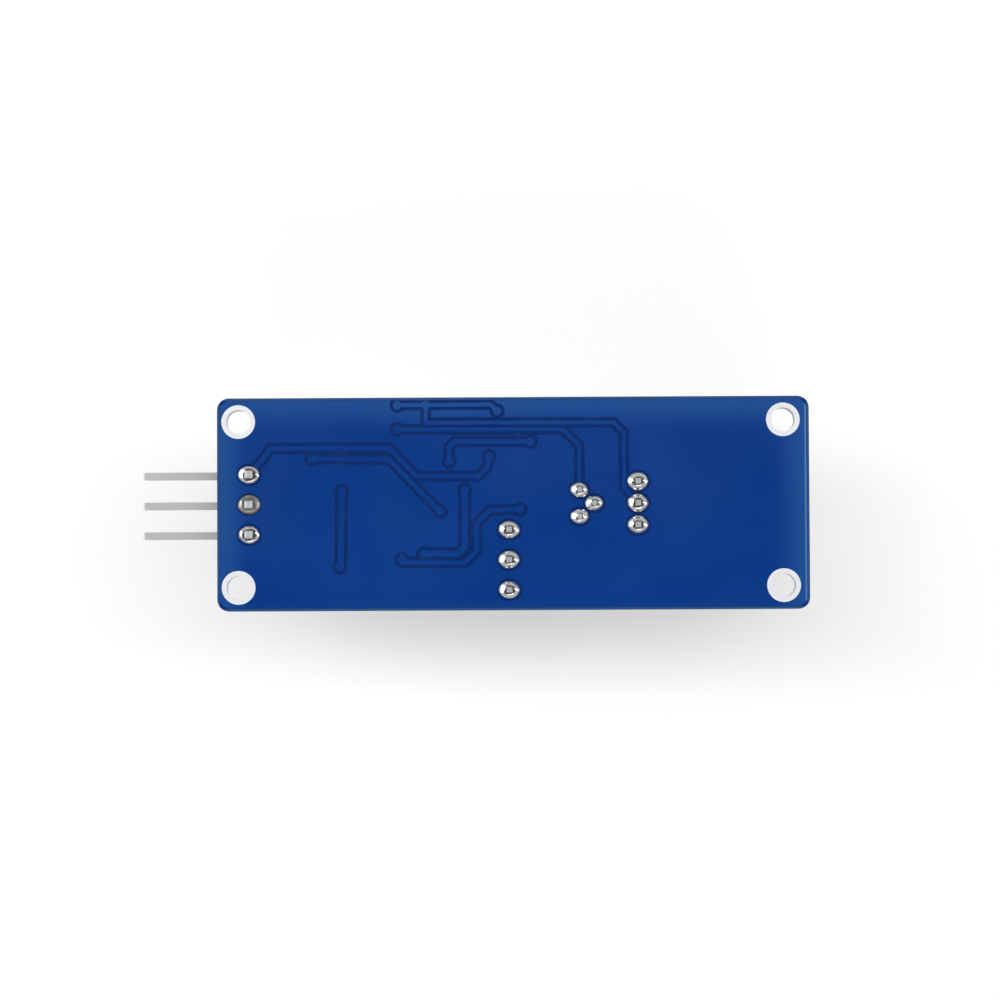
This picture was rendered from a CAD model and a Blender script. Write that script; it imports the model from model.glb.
# %% [markdown]
# # Optical distance sensor board
#
# The real object is a small blue circuit board. Its component side carries a laser in a brass
# barrel, a black tube with a lens, a receiver, a three-way header and a handful of small chips.
# Its solder side shows etched tracks, tinned screw holes and twelve soldered leads.
#
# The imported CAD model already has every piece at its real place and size. It comes in first and
# stays as it is. Everything below adds finishes to it, and new pieces where a real one has a shape
# that a plain solid lacks, such as solder, a shrunk sleeve or a moulded block with soft edges.

import math

import bmesh
import bpy
from mathutils import Matrix, Vector, noise


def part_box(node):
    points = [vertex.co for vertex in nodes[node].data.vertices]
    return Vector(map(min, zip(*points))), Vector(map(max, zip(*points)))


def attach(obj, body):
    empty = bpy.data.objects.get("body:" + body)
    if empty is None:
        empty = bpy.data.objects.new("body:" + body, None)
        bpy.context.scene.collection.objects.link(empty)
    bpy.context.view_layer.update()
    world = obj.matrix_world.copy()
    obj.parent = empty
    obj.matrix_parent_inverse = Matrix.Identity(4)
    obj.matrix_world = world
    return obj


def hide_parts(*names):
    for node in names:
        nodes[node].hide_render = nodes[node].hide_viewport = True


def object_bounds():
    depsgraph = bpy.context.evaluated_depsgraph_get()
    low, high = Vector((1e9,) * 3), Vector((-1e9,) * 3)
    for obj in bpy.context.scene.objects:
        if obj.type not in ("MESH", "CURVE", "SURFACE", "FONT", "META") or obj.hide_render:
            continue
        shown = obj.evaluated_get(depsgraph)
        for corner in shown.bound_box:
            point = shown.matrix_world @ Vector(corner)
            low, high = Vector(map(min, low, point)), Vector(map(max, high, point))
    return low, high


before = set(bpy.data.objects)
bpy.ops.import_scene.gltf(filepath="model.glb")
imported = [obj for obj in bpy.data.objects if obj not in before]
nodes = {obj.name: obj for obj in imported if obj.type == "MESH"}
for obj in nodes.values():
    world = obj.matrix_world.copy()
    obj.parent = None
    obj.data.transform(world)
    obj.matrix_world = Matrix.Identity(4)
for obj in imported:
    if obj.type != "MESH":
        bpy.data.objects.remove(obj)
cad_low, cad_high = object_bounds()
MM = 0.001
SAME_PLACE = 1e-6
print("CAD box in mm:", [round(value / MM, 2) for value in cad_high - cad_low])

# %% [markdown]
# ## Measuring the frame
#
# Places on the object are read from the boxes of the CAD nodes, so new pieces follow the CAD. Some
# nodes hold several separate solids, such as all the chip resistors, so a second helper walks
# through a node's mesh and gives the box of each loose solid.

# %% Boxes of nodes and of their loose solids


def middle(node):
    """The centre of a CAD node's box."""
    low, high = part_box(node)
    return (low + high) / 2


def solid_boxes(node):
    """Lowest and highest corner of each loose solid of a CAD node."""
    mesh = bmesh.new()
    mesh.from_mesh(nodes[node].data)
    bmesh.ops.remove_doubles(mesh, verts=mesh.verts, dist=SAME_PLACE)
    waiting = set(mesh.verts)
    boxes = []
    while waiting:
        island = [waiting.pop()]
        for vertex in island:
            for edge in vertex.link_edges:
                other = edge.other_vert(vertex)
                if other in waiting:
                    waiting.discard(other)
                    island.append(other)
        places = [vertex.co for vertex in island]
        boxes.append((Vector([min(place[axis] for place in places) for axis in range(3)]),
                      Vector([max(place[axis] for place in places) for axis in range(3)])))
    mesh.free()
    return sorted(boxes, key=lambda box: tuple(round(value, 6) for value in box[0]))


board_low, board_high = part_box("board_core")
foil_low, foil_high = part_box("back_copper")
board_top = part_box("front_copper")[1].z
print("board in mm:", [round(value / MM, 2) for value in board_high - board_low])

# %% [markdown]
# ## The camera
#
# The board is seen from its solder side, almost square on, from 300 mm away. A long lens keeps the
# edges nearly parallel. The camera stands a little towards +Y, so that a sliver of each hole's far
# wall shows, and it is rolled by a third of a degree.

# %% Camera at the viewing angle
VIEW_DISTANCE = 300 * MM
VIEW_FIELD = 84.39 * MM
VIEW_TILT = math.radians(2.0)
VIEW_ROLL = math.radians(0.29)
SENSOR_WIDTH = 36.0
view_target = Vector((-0.92, -0.30, 0.0)) * MM

camera = bpy.data.objects.new("camera", bpy.data.cameras.new("camera"))
bpy.context.scene.collection.objects.link(camera)
bpy.context.scene.camera = camera
camera.data.sensor_width = SENSOR_WIDTH
camera.data.lens = SENSOR_WIDTH * VIEW_DISTANCE / VIEW_FIELD
camera.data.clip_start, camera.data.clip_end = 0.01, 20.0

backwards = Vector((0, math.sin(VIEW_TILT), -math.cos(VIEW_TILT)))
upright = Vector((math.sin(VIEW_ROLL), -math.cos(VIEW_ROLL), 0))
sideways = upright.cross(backwards).normalized()
upright = backwards.cross(sideways)
turned = Matrix((sideways, upright, backwards)).transposed()
camera.matrix_world = Matrix.Translation(view_target + backwards * VIEW_DISTANCE) @ turned.to_4x4()
print("lens in mm:", round(camera.data.lens, 1))

# %% [markdown]
# ## Light and floor
#
# Soft studio light comes from large panels. Some stand above for the component side and some below
# for the solder side, because the board is looked at from both. The floor shows only from above
# and the backdrop behind the component side shows only from below, so neither hides the board.
# Both are plain diffuse sheets that catch a soft shadow.
#
# Tin and solder need bright panels to mirror, and the mask needs to stay deep blue. So a panel can
# be left out of what gloss mirrors, or out of what lights matt surfaces.

# %% Panels of light


def light_panel(name, place_mm, aim_mm, width_mm, height_mm, power, mirrored=True, lights=True):
    """A panel turned towards a point; mirrored is for gloss and lights is for matt surfaces."""
    data = bpy.data.lights.new(name, "AREA")
    data.shape = "RECTANGLE"
    data.size = width_mm * MM
    data.size_y = height_mm * MM
    data.energy = power
    panel = bpy.data.objects.new(name, data)
    bpy.context.scene.collection.objects.link(panel)
    place = Vector(place_mm) * MM
    panel.location = place
    panel.rotation_euler = (Vector(aim_mm) * MM - place).to_track_quat("-Z", "Y").to_euler()
    panel.visible_glossy = mirrored
    panel.visible_diffuse = lights


light_panel("under_wash", (0, -92, -500), (0, 0, 0), 620, 180, 1.42, mirrored=False)
light_panel("under_key", (-300, -120, -380), (0, 0, 0), 110, 260, 0.42)
light_panel("under_side", (340, -60, -380), (0, 0, 0), 60, 200, 0.24)
light_panel("rim_left", (-420, -80, -190), (0, 0, 0), 480, 420, 1.15, lights=False)
light_panel("rim_right", (430, 40, -110), (0, 0, 0), 160, 300, 0.20, lights=False)
light_panel("under_fill", (60, 380, -360), (0, 0, 0), 340, 120, 0.30)
light_panel("over_key", (260, -340, 460), (0, 0, 8), 300, 300, 2.0)
light_panel("over_fill", (-380, 120, 300), (0, 0, 8), 340, 340, 0.9)
light_panel("over_back", (120, 420, 260), (0, 0, 8), 300, 200, 0.5)

print("light panels:", len(bpy.data.lights))

# %% [markdown]
# ### Surroundings
#
# The surroundings are dim straight above and below and brighter round the horizon, which gives the
# round solder its dark and bright bands. The camera itself sees them as plain white.

# %% The surroundings
world = bpy.data.worlds.new("studio")
bpy.context.scene.world = world
world.use_nodes = True
ROUND_LIGHT = 0.55
FACING_LIGHT = 0.07
STEEP_FROM, STEEP_TO = 0.45, 0.85
sky = world.node_tree
sky.nodes.clear()
sky_out = sky.nodes.new("ShaderNodeOutputWorld")
sky_mix = sky.nodes.new("ShaderNodeMixShader")
sky_dim = sky.nodes.new("ShaderNodeBackground")
sky_dim.inputs["Color"].default_value = (1, 1, 1, 1)
sky_way = sky.nodes.new("ShaderNodeTexCoord")
sky_split = sky.nodes.new("ShaderNodeSeparateXYZ")
sky_steep = sky.nodes.new("ShaderNodeMath")
sky_steep.operation = "ABSOLUTE"
sky_band = sky.nodes.new("ShaderNodeMapRange")
sky_band.interpolation_type = "SMOOTHSTEP"
sky_band.inputs["From Min"].default_value = STEEP_FROM
sky_band.inputs["From Max"].default_value = STEEP_TO
sky_band.inputs["To Min"].default_value = ROUND_LIGHT
sky_band.inputs["To Max"].default_value = FACING_LIGHT
sky.links.new(sky_way.outputs["Generated"], sky_split.inputs[0])
sky.links.new(sky_split.outputs["Z"], sky_steep.inputs[0])
sky.links.new(sky_steep.outputs[0], sky_band.inputs["Value"])
sky.links.new(sky_band.outputs["Result"], sky_dim.inputs["Strength"])
sky_white = sky.nodes.new("ShaderNodeBackground")
sky_white.inputs["Color"].default_value = (1, 1, 1, 1)
sky_white.inputs["Strength"].default_value = 1.0
sky_path = sky.nodes.new("ShaderNodeLightPath")
sky.links.new(sky_path.outputs["Is Camera Ray"], sky_mix.inputs["Fac"])
sky.links.new(sky_dim.outputs[0], sky_mix.inputs[1])
sky.links.new(sky_white.outputs[0], sky_mix.inputs[2])
sky.links.new(sky_mix.outputs[0], sky_out.inputs["Surface"])
print("surroundings, round and facing:", ROUND_LIGHT, FACING_LIGHT)

# %% [markdown]
# ### Floor and backdrop
#
# Each sheet is a plane with one visible side. A shader that lets light through from behind does
# that, so neither sheet has to be moved between views. It glows a little, and fully far out, so that
# it fades into the white surroundings with no horizon.

# %% Floor and backdrop sheets
SHEET_SIZE = 6.0
SHEET_GREY = 0.67
SHEET_LIFT = 0.42
FADE_FROM, FADE_TO = 60 * MM, 400 * MM


def studio_sheet(name, height, faces_down):
    """A large pale sheet that shows from one side only, catches shadows and fades to white far out."""
    bpy.ops.mesh.primitive_plane_add(size=SHEET_SIZE, location=(0, 0, height))
    sheet = bpy.context.object
    sheet.name = name
    if faces_down:
        bpy.ops.object.mode_set(mode="EDIT")
        bpy.ops.mesh.select_all(action="SELECT")
        bpy.ops.mesh.flip_normals()
        bpy.ops.object.mode_set(mode="OBJECT")
    paint = bpy.data.materials.new(name)
    paint.use_nodes = True
    tree = paint.node_tree
    tree.nodes.clear()
    out = tree.nodes.new("ShaderNodeOutputMaterial")
    pale = tree.nodes.new("ShaderNodeBsdfDiffuse")
    pale.inputs["Color"].default_value = (SHEET_GREY, SHEET_GREY, SHEET_GREY, 1)
    glow = tree.nodes.new("ShaderNodeEmission")
    place = tree.nodes.new("ShaderNodeTexCoord")
    reach = tree.nodes.new("ShaderNodeVectorMath")
    reach.operation = "LENGTH"
    fade = tree.nodes.new("ShaderNodeMapRange")
    fade.inputs["From Min"].default_value = FADE_FROM
    fade.inputs["From Max"].default_value = FADE_TO
    fade.inputs["To Min"].default_value = SHEET_LIFT
    fade.inputs["To Max"].default_value = 1.0
    tree.links.new(place.outputs["Object"], reach.inputs[0])
    tree.links.new(reach.outputs["Value"], fade.inputs["Value"])
    tree.links.new(fade.outputs["Result"], glow.inputs["Strength"])
    both = tree.nodes.new("ShaderNodeAddShader")
    clear = tree.nodes.new("ShaderNodeBsdfTransparent")
    one_side = tree.nodes.new("ShaderNodeMixShader")
    side = tree.nodes.new("ShaderNodeNewGeometry")
    tree.links.new(pale.outputs[0], both.inputs[0])
    tree.links.new(glow.outputs[0], both.inputs[1])
    tree.links.new(side.outputs["Backfacing"], one_side.inputs["Fac"])
    tree.links.new(both.outputs[0], one_side.inputs[1])
    tree.links.new(clear.outputs[0], one_side.inputs[2])
    tree.links.new(one_side.outputs[0], out.inputs["Surface"])
    sheet.data.materials.append(paint)
    sheet.visible_diffuse = False
    sheet.visible_glossy = False
    sheet.visible_transmission = False
    sheet.visible_shadow = False


floor_height = cad_low.z - 0.02 * MM
backdrop_height = cad_high.z + 1.0 * MM
studio_sheet("floor", floor_height, faces_down=False)
studio_sheet("backdrop", backdrop_height, faces_down=True)
print("floor and backdrop in mm:", round(floor_height / MM, 2), round(backdrop_height / MM, 2))

# %% [markdown]
# ## Finishes
#
# No real surface is one flat colour. Each finish starts from two close colours that drift into
# each other, a roughness that wanders a little, and a fine bump at the scale of the real grain.
# The pattern sits in object coordinates, so it stays on the piece from every side. Values that are
# the same all over are set on the shader itself.

# %% A finish from two colours, a drift and a grain
GRAIN_DETAIL = 3.0
DRIFT_DETAIL = 4.0


def srgb(red, green, blue):
    """A colour given in display values from 0 to 255, as the linear colour that shaders take."""
    channels = []
    for value in (red, green, blue):
        share = value / 255
        channels.append(share / 12.92 if share <= 0.04045 else ((share + 0.055) / 1.055) ** 2.4)
    return (*channels, 1.0)


def finish(name, colour, second, patch_mm, rough, rough_drift=0.06, grain_mm=0.1,
           grain_depth_mm=0.004, metallic=0.0, coat=0.0, coat_rough=0.1, ior=1.5, shine=0.5,
           grain_stretch=(1, 1, 1)):
    """A procedural material; patch_mm and grain_mm are the sizes of its drift and of its grain."""
    paint = bpy.data.materials.new(name)
    paint.use_nodes = True
    tree = paint.node_tree
    shader = tree.nodes["Principled BSDF"]
    shader.inputs["Metallic"].default_value = metallic
    shader.inputs["IOR"].default_value = ior
    shader.inputs["Specular IOR Level"].default_value = shine
    shader.inputs["Coat Weight"].default_value = coat
    shader.inputs["Coat Roughness"].default_value = coat_rough
    place = tree.nodes.new("ShaderNodeTexCoord")

    drift = tree.nodes.new("ShaderNodeTexNoise")
    drift.inputs["Scale"].default_value = 1 / (patch_mm * MM)
    drift.inputs["Detail"].default_value = DRIFT_DETAIL
    blend = tree.nodes.new("ShaderNodeMix")
    blend.data_type = "RGBA"
    blend.inputs["A"].default_value = colour
    blend.inputs["B"].default_value = second
    tree.links.new(place.outputs["Object"], drift.inputs["Vector"])
    tree.links.new(drift.outputs["Fac"], blend.inputs["Factor"])
    tree.links.new(blend.outputs["Result"], shader.inputs["Base Color"])

    wander = tree.nodes.new("ShaderNodeMapRange")
    wander.inputs["From Min"].default_value = 0.3
    wander.inputs["From Max"].default_value = 0.7
    wander.inputs["To Min"].default_value = max(rough - rough_drift, 0.02)
    wander.inputs["To Max"].default_value = rough + rough_drift
    tree.links.new(drift.outputs["Fac"], wander.inputs["Value"])
    tree.links.new(wander.outputs["Result"], shader.inputs["Roughness"])

    stretch = tree.nodes.new("ShaderNodeMapping")
    stretch.inputs["Scale"].default_value = grain_stretch
    grain = tree.nodes.new("ShaderNodeTexNoise")
    grain.inputs["Scale"].default_value = 1 / (grain_mm * MM)
    grain.inputs["Detail"].default_value = GRAIN_DETAIL
    relief = tree.nodes.new("ShaderNodeBump")
    relief.inputs["Distance"].default_value = grain_depth_mm * MM
    tree.links.new(place.outputs["Object"], stretch.inputs["Vector"])
    tree.links.new(stretch.outputs["Vector"], grain.inputs["Vector"])
    tree.links.new(grain.outputs["Fac"], relief.inputs["Height"])
    tree.links.new(relief.outputs["Normal"], shader.inputs["Normal"])
    return paint


print("a mid grey in linear light:", round(srgb(128, 128, 128)[0], 3))

# %% [markdown]
# ### Blue solder mask
#
# The mask is a thin glossy lacquer over copper. It is deep blue in the middle of the board and a
# little paler where it thins out towards the edges. A field of distances from a rectangle's border
# does that. The foil's own border, moved outwards at +Y, gives the thinning over the last 2.8 mm.
# The border at -Y alone gives a pale lip over the last 0.2 mm, where the lacquer rounds off. The
# laminate has its own paler rim.

# %% Distances from a border, and colours laid over by them


def border_field(tree, low, high):
    """Nodes that give the distance in metres from a point inwards to the border of a rectangle."""
    place = tree.nodes.new("ShaderNodeTexCoord")
    split = tree.nodes.new("ShaderNodeSeparateXYZ")
    tree.links.new(place.outputs["Object"], split.inputs[0])
    sides = []
    for axis in (0, 1):
        from_low = tree.nodes.new("ShaderNodeMath")
        from_low.operation = "SUBTRACT"
        from_low.inputs[1].default_value = low[axis]
        from_high = tree.nodes.new("ShaderNodeMath")
        from_high.operation = "SUBTRACT"
        from_high.inputs[0].default_value = high[axis]
        tree.links.new(split.outputs[axis], from_low.inputs[0])
        tree.links.new(split.outputs[axis], from_high.inputs[1])
        sides += [from_low, from_high]
    nearest = sides[0]
    for side in sides[1:]:
        smaller = tree.nodes.new("ShaderNodeMath")
        smaller.operation = "MINIMUM"
        tree.links.new(nearest.outputs[0], smaller.inputs[0])
        tree.links.new(side.outputs[0], smaller.inputs[1])
        nearest = smaller
    return nearest


def ramp_between(tree, source, start_mm, end_mm, low=0.0, high=1.0):
    """A smooth step of a distance between two places, in millimetres."""
    step = tree.nodes.new("ShaderNodeMapRange")
    step.interpolation_type = "SMOOTHSTEP"
    step.inputs["From Min"].default_value = start_mm * MM
    step.inputs["From Max"].default_value = end_mm * MM
    step.inputs["To Min"].default_value = low
    step.inputs["To Max"].default_value = high
    tree.links.new(source.outputs[0], step.inputs["Value"])
    return step


def tint_over(tree, shader, factor, colour):
    """Lay another colour over what feeds the shader's base colour."""
    before = shader.inputs["Base Color"].links[0].from_socket
    blend = tree.nodes.new("ShaderNodeMix")
    blend.data_type = "RGBA"
    blend.inputs["B"].default_value = colour
    tree.links.new(factor.outputs[0], blend.inputs["Factor"])
    tree.links.new(before, blend.inputs["A"])
    tree.links.new(blend.outputs["Result"], shader.inputs["Base Color"])


def paint_over(piece, paint):
    """Give a piece one material in place of any that it has."""
    piece.data.materials.clear()
    piece.data.materials.append(paint)


print("foil in mm:", [round(value / MM, 2) for value in foil_high - foil_low])

# %% [markdown]
# ### The two blues
#
# The copper's two foils share one finish. The laminate gets the darker one, because the mask looks
# darker where no copper lies under it.

# %% The mask on the copper and the mask on the bare laminate
FAR = 20 * MM
PAST_BACK = 2.0 * MM
mask_blue = finish("mask_blue", srgb(0, 51, 129), srgb(4, 62, 141), 9.0, 0.20,
                   grain_mm=0.5, grain_depth_mm=0.0008, shine=0.10)
tree = mask_blue.node_tree
to_border = border_field(tree, foil_low, foil_high + Vector((0, PAST_BACK, 0)))
thinning = ramp_between(tree, to_border, 2.8, 0.0, 0.0, 0.5)
tint_over(tree, tree.nodes["Principled BSDF"], thinning, srgb(40, 92, 158))
to_front = border_field(tree, foil_low - Vector((FAR, FAR, 0)), foil_high + Vector((0, FAR, 0)))
front_lip = ramp_between(tree, to_front, 0.20, 0.05, 0.0, 0.7)
tint_over(tree, tree.nodes["Principled BSDF"], front_lip, srgb(96, 146, 200))

mask_dark = finish("mask_dark", srgb(0, 40, 100), srgb(2, 46, 112), 3.0, 0.24,
                   grain_mm=0.5, grain_depth_mm=0.0005, shine=0.12)
tree = mask_dark.node_tree
to_edge = border_field(tree, board_low, board_high)
rim = ramp_between(tree, to_edge, 0.30, 0.12, 0.0, 1.0)
tint_over(tree, tree.nodes["Principled BSDF"], rim, srgb(46, 84, 136))

paint_over(nodes["back_copper"], mask_blue)
paint_over(nodes["front_copper"], mask_blue)
paint_over(nodes["board_core"], mask_dark)
print("mask finishes:", mask_blue.name, mask_dark.name)

# %% [markdown]
# ### Metals
#
# Tin and solder are bright and smooth, but hand-cut and hand-soldered, so their roughness wanders.
# Turned brass has fine rings round its axis: a grain stretched along the lathe's travel gives them.
# The gold-flashed can and the tinned leads are duller.

# %% Tin, solder, brass and plated steel
tin_bright = finish("tin_bright", srgb(236, 239, 243), srgb(216, 221, 228), 0.5, 0.22, metallic=1.0,
                    grain_mm=0.12, grain_depth_mm=0.003)
tin_levelled = finish("tin_levelled", srgb(252, 253, 255), srgb(236, 240, 247), 0.35, 0.34,
                      metallic=0.22, grain_mm=0.12, grain_depth_mm=0.003)
solder_bright = finish("solder_bright", srgb(244, 246, 248), srgb(214, 212, 204), 0.35, 0.17,
                       metallic=1.0, grain_mm=0.22, grain_depth_mm=0.008)
solder_dull = finish("solder_dull", srgb(196, 198, 190), srgb(128, 130, 120), 0.25, 0.34,
                     metallic=0.9, grain_mm=0.12, grain_depth_mm=0.02)
pin_tin = finish("pin_tin", srgb(222, 222, 222), srgb(204, 204, 206), 1.5, 0.38, metallic=0.5,
                 grain_mm=0.05, grain_depth_mm=0.002, grain_stretch=(0.05, 1, 1))
lead_tin = finish("lead_tin", srgb(232, 233, 234), srgb(206, 208, 210), 0.6, 0.32, metallic=0.6,
                  grain_mm=0.08, grain_depth_mm=0.002, grain_stretch=(1, 1, 0.1))
brass_turned = finish("brass_turned", srgb(220, 192, 132), srgb(198, 166, 104), 2.0, 0.28,
                      metallic=1.0, grain_mm=0.06, grain_depth_mm=0.004, grain_stretch=(1, 0.04, 0.04))
can_gold = finish("can_gold", srgb(214, 196, 150), srgb(190, 168, 118), 1.0, 0.30, metallic=1.0,
                  grain_mm=0.1, grain_depth_mm=0.002)
copper_plated = finish("copper_plated", srgb(200, 128, 92), srgb(176, 104, 70), 0.3, 0.35,
                       metallic=1.0, grain_mm=0.1, grain_depth_mm=0.002)
print("finishes so far:", len(bpy.data.materials))

# %% [markdown]
# ### Plastics, ceramic, epoxy and glass
#
# Moulded black parts are matt with a spark-eroded grain. The sleeve is a softer black with a slight
# sheen. The receiver's epoxy is dark and smooth, so that it passes the laser's light and little
# else.

# %% Plastics and ceramics
moulding_black = finish("moulding_black", srgb(38, 38, 40), srgb(26, 26, 28), 1.2, 0.55,
                        grain_mm=0.07, grain_depth_mm=0.010)
header_black = finish("header_black", srgb(30, 30, 31), srgb(20, 20, 21), 0.9, 0.42,
                      grain_mm=0.09, grain_depth_mm=0.006)
tube_black = finish("tube_black", srgb(34, 34, 36), srgb(22, 22, 24), 2.2, 0.48,
                    grain_mm=0.10, grain_depth_mm=0.010)
sleeve_black = finish("sleeve_black", srgb(44, 44, 46), srgb(30, 30, 32), 1.6, 0.40,
                      grain_mm=0.4, grain_depth_mm=0.02)
ring_anodised = finish("ring_anodised", srgb(46, 46, 50), srgb(32, 32, 36), 1.0, 0.36,
                       grain_mm=0.05, grain_depth_mm=0.003, metallic=0.6)
epoxy_dark = finish("epoxy_dark", srgb(36, 22, 34), srgb(22, 14, 24), 1.4, 0.12,
                    grain_mm=0.5, grain_depth_mm=0.003, coat=0.5, coat_rough=0.05)
ceramic_black = finish("ceramic_black", srgb(34, 35, 38), srgb(22, 23, 26), 0.5, 0.32,
                       grain_mm=0.06, grain_depth_mm=0.004)
ceramic_tan = finish("ceramic_tan", srgb(178, 146, 112), srgb(150, 118, 86), 0.5, 0.45,
                     grain_mm=0.06, grain_depth_mm=0.005)
tantalum_yellow = finish("tantalum_yellow", srgb(226, 172, 62), srgb(206, 148, 44), 1.0, 0.38,
                         grain_mm=0.1, grain_depth_mm=0.006)
lamp_white = finish("lamp_white", srgb(238, 238, 232), srgb(220, 220, 212), 0.5, 0.4,
                    grain_mm=0.08, grain_depth_mm=0.003)
legend_white = finish("legend_white", srgb(236, 238, 240), srgb(212, 216, 222), 0.25, 0.55,
                      grain_mm=0.05, grain_depth_mm=0.003)

print("finishes so far:", len(bpy.data.materials))

# %% [markdown]
# ### Lenses and lamp bodies
#
# The lenses are clear acrylic. The lamps' tinted resin lets about half the light through, so it has
# a body colour too. Both are the plain finish with transmission added, which keeps their grain.

# %% Lenses and lamp bodies


def see_through(name, colour, second, rough, ior, share=1.0):
    """A clear or tinted finish: the plain finish with light let through it."""
    paint = finish(name, colour, second, 1.5, rough, rough_drift=0.01, grain_mm=0.8,
                   grain_depth_mm=0.001, ior=ior)
    paint.node_tree.nodes["Principled BSDF"].inputs["Transmission Weight"].default_value = share
    return paint


lens_clear = see_through("lens_clear", srgb(244, 250, 252), srgb(234, 244, 250), 0.02, 1.49)
lamp_red = see_through("lamp_red", srgb(232, 70, 56), srgb(210, 40, 34), 0.10, 1.5, share=0.5)
lamp_green = see_through("lamp_green", srgb(104, 204, 92), srgb(70, 176, 66), 0.10, 1.5, share=0.5)

print("finishes made:", len(bpy.data.materials))

# %% [markdown]
# ### Finishes on the CAD nodes
#
# One table says what each piece is made of. Repeated pieces, such as leads and joints, are filled
# in by number. The CAD meshes themselves stay as they are.

# %% Give the CAD nodes their finishes
finish_of = {
    "lens_tube": tube_black, "collecting_lens": lens_clear, "lens_retaining_ring": ring_anodised,
    "laser_barrel": brass_turned, "laser_diode_can": can_gold, "laser_lens": lens_clear,
    "focus_ring": brass_turned, "via_platings": copper_plated, "optics_band": sleeve_black,
    "header_housing": header_black, "oscillator_body": moulding_black, "receiver_body": epoxy_dark,
    "resistor_bodies": ceramic_black, "resistor_end_caps": tin_bright,
    "capacitor_bodies": ceramic_tan, "capacitor_end_caps": tin_bright,
    "reservoir_capacitor_body": tantalum_yellow, "reservoir_capacitor_tabs": lead_tin,
    "signal_chip_body": moulding_black, "signal_chip_leads": lead_tin,
    "driver_transistor_body": moulding_black, "driver_transistor_leads": lead_tin,
    "power_lamp_base": lamp_white, "power_lamp_lens": lamp_red,
    "signal_lamp_base": lamp_white, "signal_lamp_lens": lamp_green,
    "surface_solder": solder_bright,
}
for number in (1, 2, 3, 4):
    finish_of[f"hole_plating_{number}"] = tin_levelled
for number in (1, 2, 3):
    finish_of[f"header_pin_{number}"] = pin_tin
    for group in ("oscillator", "laser", "receiver"):
        finish_of[f"{group}_lead_{number}"] = lead_tin
    for group in ("header", "oscillator", "laser", "receiver"):
        finish_of[f"{group}_joint_{number}"] = solder_bright
for node, paint in finish_of.items():
    paint_over(nodes[node], paint)
print("finishes given:", len(finish_of))

# %% [markdown]
# ## Modelling helpers
#
# New pieces are made as by hand: a primitive, then extrusions, scalings and bevels in edit mode.
# An operator acts on whatever is selected, so each piece starts from an empty selection.

# %% Select, edit and leave edit mode


def start_clean():
    """Leave edit mode and empty the selection."""
    if bpy.context.object and bpy.context.object.mode != "OBJECT":
        bpy.ops.object.mode_set(mode="OBJECT")
    bpy.ops.object.select_all(action="DESELECT")


def pick(*pieces):
    """Select these pieces alone, with the first one active."""
    start_clean()
    for piece in pieces:
        piece.select_set(True)
    bpy.context.view_layer.objects.active = pieces[0]


def edit_all():
    """Enter edit mode with everything selected."""
    bpy.ops.object.mode_set(mode="EDIT")
    bpy.ops.mesh.select_all(action="SELECT")


def leave_outward():
    """Turn every face outwards and leave edit mode."""
    bpy.ops.mesh.select_all(action="SELECT")
    bpy.ops.mesh.normals_make_consistent(inside=False)
    bpy.ops.object.mode_set(mode="OBJECT")


def apply_place():
    """Move the active object's place, turn and scale into its mesh."""
    bpy.ops.object.transform_apply(location=True, rotation=True, scale=True)


print("editing helpers ready in mode", bpy.context.mode)

# %% [markdown]
# ### Turned shapes and blocks
#
# A turned shape is a disc that is extruded from ring to ring and scaled at each, as a lathe would
# leave it. A block is a cube stretched between two corners, with or without rounded edges.

# %% Turned shapes and blocks
ROUND_SIDES = 40


def turned_shape(name, rings):
    """A closed shape turned about Z: a filled circle, extruded and scaled from ring to ring."""
    start_clean()
    first_radius, first_height = rings[0]
    bpy.ops.mesh.primitive_circle_add(vertices=ROUND_SIDES, radius=first_radius, fill_type="NGON",
                                      location=(0, 0, first_height))
    shape = bpy.context.object
    shape.name = name
    apply_place()
    edit_all()
    for (radius, height), (next_radius, next_height) in zip(rings, rings[1:]):
        bpy.ops.mesh.extrude_region_move(
            TRANSFORM_OT_translate={"value": (0, 0, next_height - height)})
        scale = next_radius / radius
        bpy.ops.transform.resize(value=(scale, scale, 1), center_override=(0, 0, next_height))
    leave_outward()
    return shape


def plain_block(name, low, high):
    """A sharp block between two corners."""
    start_clean()
    bpy.ops.mesh.primitive_cube_add(size=1.0, location=(low + high) / 2)
    block = bpy.context.object
    block.name = name
    block.scale = high - low
    apply_place()
    return block


def soft_block(name, low, high, bevel_mm):
    """A block between two corners with every edge rounded."""
    block = plain_block(name, low, high)
    edit_all()
    bpy.ops.mesh.bevel(offset=bevel_mm * MM, segments=3, affect="EDGES")
    bpy.ops.object.mode_set(mode="OBJECT")
    return block


print("turned shapes have", ROUND_SIDES, "sides")

# %% [markdown]
# ### Finishing a piece
#
# Loose parts are joined, copies get a mesh of their own, and modifiers are applied, so the mesh is
# the final shape. Settling a piece gives it its material, its shading and the body it rides on.

# %% Join, copy, modify and settle
SMOOTH_ANGLE = math.radians(35)
SHARP_EDGE = math.radians(30)


def joined(name, pieces):
    """Several meshes as one piece."""
    pick(*pieces)
    bpy.ops.object.join()
    whole = bpy.context.object
    whole.name = name
    return whole


def copy_of(piece, name, offset):
    """A copy with its own mesh, moved by an offset."""
    twin = piece.copy()
    twin.data = piece.data.copy()
    twin.name = name
    twin.data.name = name
    bpy.context.scene.collection.objects.link(twin)
    twin.data.transform(Matrix.Translation(offset))
    return twin


def apply_modifier(piece, kind, **settings):
    """Add a modifier with these settings and apply it."""
    pick(piece)
    modifier = piece.modifiers.new(kind.title(), kind)
    for key, value in settings.items():
        setattr(modifier, key, value)
    bpy.ops.object.modifier_apply(modifier=modifier.name)


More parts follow.
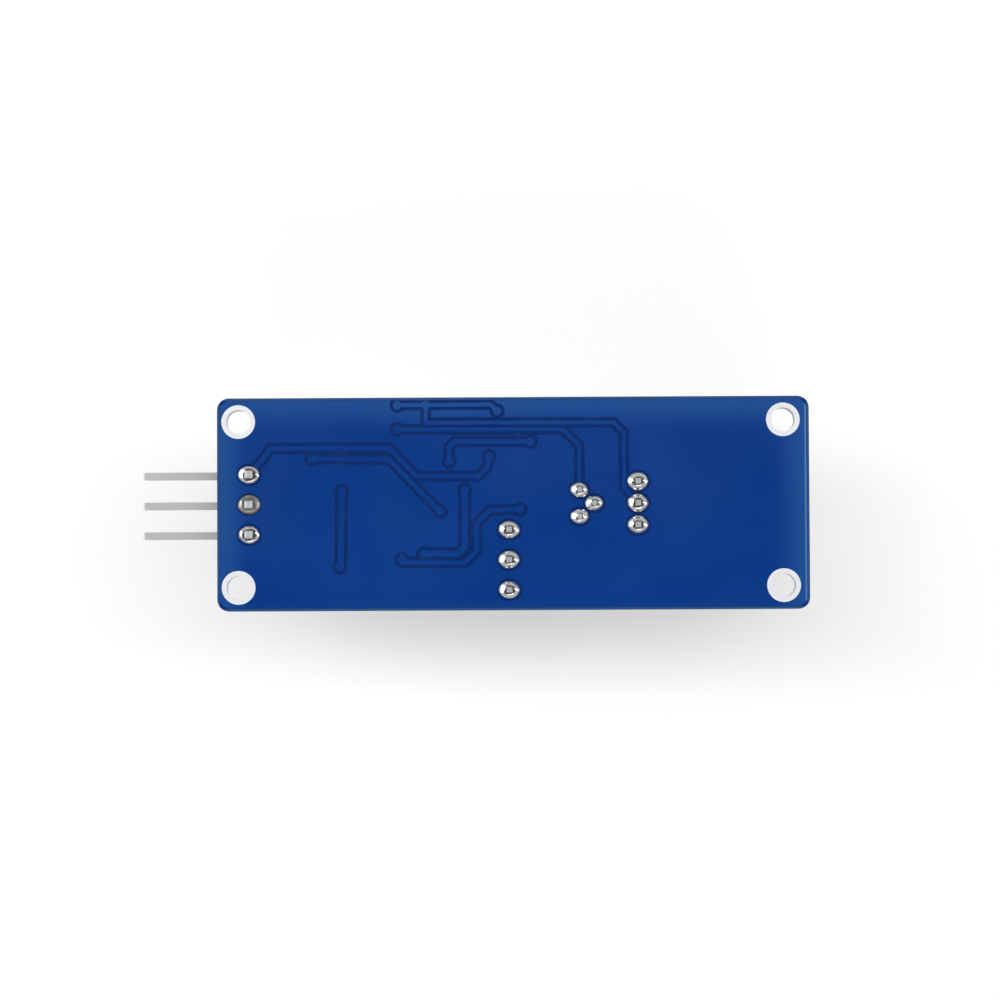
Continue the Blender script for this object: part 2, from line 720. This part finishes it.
def settle(piece, paint, slot_name, *replaced, smooth=True):
    """Finish a piece: its material, its smooth shading, the body it rides on, what it stands for."""
    pick(piece)
    paint_over(piece, paint)
    if smooth:
        bpy.ops.object.shade_smooth_by_angle(angle=SMOOTH_ANGLE)
    piece.data.name = piece.name
    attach(piece, "board")
    if replaced:
        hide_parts(*replaced)
    print(f"{piece.name}: {len(piece.data.polygons)} faces")


print("smooth up to", round(math.degrees(SMOOTH_ANGLE)), "degrees")

# %% [markdown]
# ## Solder joints
#
# A hand-soldered joint is a cone of metal that has crept up the cut lead: wide and low where it
# wets the pad, steep in the middle, and rounded at the top with the lead's end standing out. One
# joint is turned from rings, with a plug through the hole and a small collar on the far side, and
# it is copied to the twelve leads. Each copy is then pulled about a little, because no two are
# alike. The noise for it has a fixed seed, so each run gives the same joints. The middle joint of
# the header took less solder: it is flatter, duller and lopsided.

# %% The shape of a joint
HOLE_ROOM = 0.16 * MM
FLANK = ((0.00, 1.06), (0.20, 0.99), (0.42, 0.86), (0.64, 0.66), (0.82, 0.42), (0.94, 0.18),
         (1.00, 0.04))


def solder_rings(pad_radius, lead_radius):
    """Rings of a joint from its lowest point up through the board; radii and heights in metres."""
    through = lead_radius + HOLE_ROOM
    width = pad_radius - lead_radius
    height = 0.78 * width + 0.12 * MM
    return [(lead_radius * 0.7, -height * 1.04)] + [
        (lead_radius + share * width, -height * drop) for share, drop in FLANK
    ] + [
        (pad_radius, 0.004 * MM),
        (pad_radius - 0.04 * MM, 0.012 * MM),
        (through, 0.02 * MM),
        (through, board_top - 0.02 * MM),
        (through + 0.15 * MM, board_top - 0.005 * MM),
        (through + 0.03 * MM, board_top + 0.10 * MM),
        (through - 0.10 * MM, board_top + 0.29 * MM),
    ]


FOOT_HEIGHT = -0.02 * MM
FULL_PULL_HEIGHT = 0.4 * MM
LOWEST_SOLDER = -0.93 * MM
LUMPS_PER_METRE = 900
SEED_STEPS = (7.3, 3.1, 1.7)


def pull_about(piece, centre, strength_mm, seed, flatten=1.0):
    """Move the points of the dome by a slow noise, and flatten it."""
    for vertex in piece.data.vertices:
        if vertex.co.z > FOOT_HEIGHT:
            continue
        local = vertex.co - centre
        share = min(-local.z / FULL_PULL_HEIGHT, 1.0)
        offset = Vector([seed * step for step in SEED_STEPS])
        drift = noise.noise_vector(local * LUMPS_PER_METRE + offset)
        local.x += drift.x * strength_mm * MM * share
        local.y += drift.y * strength_mm * MM * share
        local.z = local.z * flatten + drift.z * strength_mm * MM * share * 0.5
        local.z = min(max(local.z, LOWEST_SOLDER), 0.0)
        vertex.co = centre + local


print("flank rings of a joint:", len(FLANK))

# %% [markdown]
# ### Twelve joints
#
# Each group of leads has its own wire and pad, so it gets its own pattern, stretched to the pad's
# oval and smoothed. The lead's radius is half the diagonal of a square lead, or half the diameter
# of the laser's round ones. The pattern is 8 % wider than the CAD joint, so that its rim covers the
# pad's.

# %% Turn a pattern for each group and copy it to its leads
noise.seed_set(12)
SPREAD = 1.08
lead_radii = {"header": 0.45 * MM, "oscillator": 0.32 * MM, "laser": 0.225 * MM,
              "receiver": 0.32 * MM}
for group, lead_radius in lead_radii.items():
    low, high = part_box(f"{group}_joint_1")
    half_length, half_width = (high.x - low.x) / 2, (high.y - low.y) / 2
    pattern = turned_shape("solder_pattern", solder_rings(half_width * SPREAD, lead_radius))
    stretch = half_length / half_width
    for vertex in pattern.data.vertices:
        if vertex.co.z < 0.01 * MM:
            vertex.co.x *= stretch
    apply_modifier(pattern, "SUBSURF", levels=2, render_levels=2)
    for number in (1, 2, 3):
        node = f"{group}_joint_{number}"
        centre = middle(node)
        centre.z = 0.0
        joint = copy_of(pattern, f"{group}_solder_{number}", centre)
        seed = number + 10 * len(group)
        if node == "header_joint_2":
            pull_about(joint, centre, 0.24, seed, flatten=0.8)
            settle(joint, solder_dull, "solder", node)
        else:
            pull_about(joint, centre, 0.10, seed)
            settle(joint, solder_bright, "solder", node)
    bpy.data.objects.remove(pattern)

# %% [markdown]
# ## Header block
#
# The block is moulded as a strip of cells with notches between them, where it can be snapped
# apart. Each cell is a block with its long edges chamfered and its other edges just softened.

# %% Three cells of the header
low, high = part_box("header_housing")
pin_gap = (high.y - low.y) / 3
cells = []
for number in range(3):
    cell_low = Vector((low.x, low.y + number * pin_gap, low.z))
    cell_high = Vector((high.x, low.y + (number + 1) * pin_gap, high.z))
    cell = plain_block("header_cell", cell_low, cell_high)
    bpy.ops.object.mode_set(mode="EDIT")
    bpy.ops.mesh.select_all(action="DESELECT")
    bpy.ops.object.mode_set(mode="OBJECT")
    for edge in cell.data.edges:
        ends = [cell.data.vertices[index].co for index in edge.vertices]
        edge.select = abs(ends[0].x - ends[1].x) > SAME_PLACE
    bpy.ops.object.mode_set(mode="EDIT")
    bpy.ops.mesh.bevel(offset=0.36 * MM, segments=1, affect="EDGES")
    bpy.ops.object.mode_set(mode="OBJECT")
    apply_modifier(cell, "BEVEL", width=0.06 * MM, segments=2, limit_method="ANGLE",
                   angle_limit=SHARP_EDGE)
    cells.append(cell)
settle(joined("header_block", cells), header_black, "header_block", "header_housing")

# %% [markdown]
# ## Shrunk sleeve
#
# The sleeve that ties the barrel to the tube is heat-shrunk: it runs straight from one round to the
# other, its ends curl in a little and it shows faint waves. It starts as an open cylinder along X.

# %% Start the sleeve as a plain cylinder
low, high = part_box("optics_band")
tube_low, tube_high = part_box("lens_tube")
barrel_low, barrel_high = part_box("laser_barrel")
tube_radius = (tube_high.y - tube_low.y) / 2
barrel_radius = (barrel_high.y - barrel_low.y) / 2
tube_height = tube_high.z - tube_radius
barrel_height = (barrel_high.z + barrel_low.z) / 2
SLEEVE_WALL = 0.35 * MM
sleeve_reach = (high.y - low.y) / 2 - tube_radius - SLEEVE_WALL
lean = math.asin((tube_radius - barrel_radius) / (barrel_height - tube_height))


def belt_point(angle, growth):
    """A point of the belt line, at an angle from straight down; growth is the distance outwards."""
    swing = math.pi / 2 + lean
    if abs(angle) <= swing:
        radius = tube_radius + growth
        return math.sin(angle) * radius, tube_height - math.cos(angle) * radius
    radius = barrel_radius + growth
    return math.sin(angle) * radius, barrel_height - math.cos(angle) * radius


ROUND_STEPS = 144
LENGTH_STEPS = 14
length_step = (high.x - low.x) / LENGTH_STEPS
start_clean()
bpy.ops.mesh.primitive_circle_add(vertices=ROUND_STEPS, radius=tube_radius, fill_type="NOTHING",
                                  location=(low.x, 0, tube_height), rotation=(0, math.pi / 2, 0))
sleeve = bpy.context.object
sleeve.name = "shrink_sleeve"
apply_place()
edit_all()
for _ in range(LENGTH_STEPS):
    bpy.ops.mesh.extrude_region_move(TRANSFORM_OT_translate={"value": (length_step, 0, 0)})
bpy.ops.object.mode_set(mode="OBJECT")
print("sleeve starts with", len(sleeve.data.vertices), "points")

# %% [markdown]
# ### The sleeve's belt line
#
# Each point of the cylinder is laid on the belt line round both tubes, with a slow wave and a curl
# at the ends, and Solidify gives the sleeve its wall. Moving the points of a cylinder keeps its
# even grid of faces.

# %% Lay the sleeve's points on the belt line
END_CURL = 0.10 * MM
WAVE_DEPTH = 0.06 * MM
WAVES_PER_METRE = 700
WAVES_ROUND = 2.2
for vertex in sleeve.data.vertices:
    x = vertex.co.x
    angle = math.atan2(vertex.co.y, tube_height - vertex.co.z)
    share = (x - low.x) / (high.x - low.x)
    curl = END_CURL * abs(2 * share - 1) ** 6
    wave = WAVE_DEPTH * noise.noise(Vector((x * WAVES_PER_METRE, math.sin(angle) * WAVES_ROUND,
                                            math.cos(angle) * WAVES_ROUND)))
    y, z = belt_point(angle, sleeve_reach + SLEEVE_WALL - curl * 0.4 - abs(wave))
    vertex.co = (x, y, z)
bpy.ops.object.mode_set(mode="EDIT")
leave_outward()
apply_modifier(sleeve, "SOLIDIFY", thickness=SLEEVE_WALL * 0.8, offset=-1.0)
apply_modifier(sleeve, "BEVEL", width=0.08 * MM, segments=2, limit_method="ANGLE",
               angle_limit=math.radians(60))
settle(sleeve, sleeve_black, "band_black", "optics_band")

# %% [markdown]
# ## Small chips
#
# Each resistor, capacitor and end cap is its own loose solid in the CAD. Their boxes are read one
# by one, and each becomes a block with softened edges, because fired ceramic and dipped metal have
# no sharp corner.

# %% Softened chips and caps
for node, paint, slot_name, bevel in (
        ("resistor_bodies", ceramic_black, "resistor_ceramic", 0.04),
        ("resistor_end_caps", tin_bright, "end_cap", 0.07),
        ("capacitor_bodies", ceramic_tan, "capacitor_ceramic", 0.08),
        ("capacitor_end_caps", tin_bright, "end_cap", 0.11)):
    blocks = [soft_block(node, box_low, box_high, bevel) for box_low, box_high in solid_boxes(node)]
    name = node.replace("bodies", "chips").replace("end_caps", "caps")
    settle(joined(name, blocks), paint, slot_name, node)

# %% [markdown]
# ## Moulded cases
#
# The CAD gives these cases at their exact size with sharp corners. A mould leaves every corner a
# little round, and that round is what catches the light. So each case is a copy of the CAD's mesh:
# its loose triangles are merged, flat stretches are dissolved into single faces, and a bevel rounds
# every sharp edge. Modelling them again from boxes would only repeat the CAD's numbers.

# %% Round the edges of the moulded cases


def softened(node, name, width_mm):
    """A copy of a CAD node's mesh with its sharp edges rounded."""
    case = nodes[node].copy()
    case.data = nodes[node].data.copy()
    case.name = name
    bpy.context.scene.collection.objects.link(case)
    pick(case)
    edit_all()
    bpy.ops.mesh.remove_doubles(threshold=SAME_PLACE)
    bpy.ops.mesh.dissolve_limited(angle_limit=math.radians(2))
    bpy.ops.object.mode_set(mode="OBJECT")
    apply_modifier(case, "BEVEL", width=width_mm * MM, segments=3, limit_method="ANGLE",
                   angle_limit=SHARP_EDGE)
    return case


for node, paint, slot_name, width in (
        ("oscillator_body", moulding_black, "moulding_black", 0.14),
        ("receiver_body", epoxy_dark, "receiver_epoxy", 0.12),
        ("signal_chip_body", moulding_black, "moulding_black", 0.06),
        ("driver_transistor_body", moulding_black, "moulding_black", 0.05),
        ("reservoir_capacitor_body", tantalum_yellow, "reservoir_yellow", 0.08),
        ("power_lamp_base", lamp_white, "lamp_base", 0.04),
        ("signal_lamp_base", lamp_white, "lamp_base", 0.04),
        ("power_lamp_lens", lamp_red, "power_lamp_lens", 0.09),
        ("signal_lamp_lens", lamp_green, "signal_lamp_lens", 0.09)):
    name = node.replace("_body", "_case").replace("_base", "_cup").replace("_lens", "_resin")
    settle(softened(node, name, width), paint, slot_name, node)

# %% [markdown]
# ## Printed outlines
#
# White ink marks where each part of the component side goes. One outline is a rectangle that is
# inset to a frame, has its middle deleted and is raised by the thickness of the ink. The places
# come from the boxes of the parts. There is no lettering.

# %% Outlines round the parts
INK_WIDTH = 0.15 * MM
INK_HEIGHT = 0.015 * MM
INK_ROOM = 0.32 * MM
OWN_CAP_REACH = 1.2 * MM


def outline(low, high):
    """A thin raised frame round a part, on the component side."""
    start_clean()
    place = ((low.x + high.x) / 2, (low.y + high.y) / 2, board_top)
    bpy.ops.mesh.primitive_plane_add(size=1.0, location=place)
    frame_line = bpy.context.object
    room = 2 * (INK_ROOM + INK_WIDTH)
    frame_line.scale = (high.x - low.x + room, high.y - low.y + room, 1)
    apply_place()
    edit_all()
    bpy.ops.mesh.inset(thickness=INK_WIDTH)
    bpy.ops.mesh.delete(type="FACE")
    bpy.ops.mesh.select_all(action="SELECT")
    bpy.ops.mesh.extrude_region_move(TRANSFORM_OT_translate={"value": (0, 0, INK_HEIGHT)})
    leave_outward()
    return frame_line


def span(*boxes):
    """The box round several boxes."""
    return (Vector([min(box[0][axis] for box in boxes) for axis in range(3)]),
            Vector([max(box[1][axis] for box in boxes) for axis in range(3)]))


caps = solid_boxes("resistor_end_caps") + solid_boxes("capacitor_end_caps")
framed = []
for body_low, body_high in solid_boxes("resistor_bodies") + solid_boxes("capacitor_bodies"):
    centre = (body_low + body_high) / 2
    own = [cap for cap in caps if ((cap[0] + cap[1]) / 2 - centre).length < OWN_CAP_REACH]
    framed.append(span((body_low, body_high), *own))
framed.append(span(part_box("reservoir_capacitor_body"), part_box("reservoir_capacitor_tabs")))
framed += [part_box("power_lamp_base"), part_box("signal_lamp_base"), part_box("oscillator_body")]
outlines = joined("printed_outlines", [outline(*box) for box in framed])
settle(outlines, legend_white, None, smooth=False)

# %% [markdown]
# ## Saving the sizes
#
# The visual model has to stay inside the CAD model's box, so both boxes are written down.

# %% Write both boxes and finish
bpy.context.scene.view_settings.view_transform = "Standard"
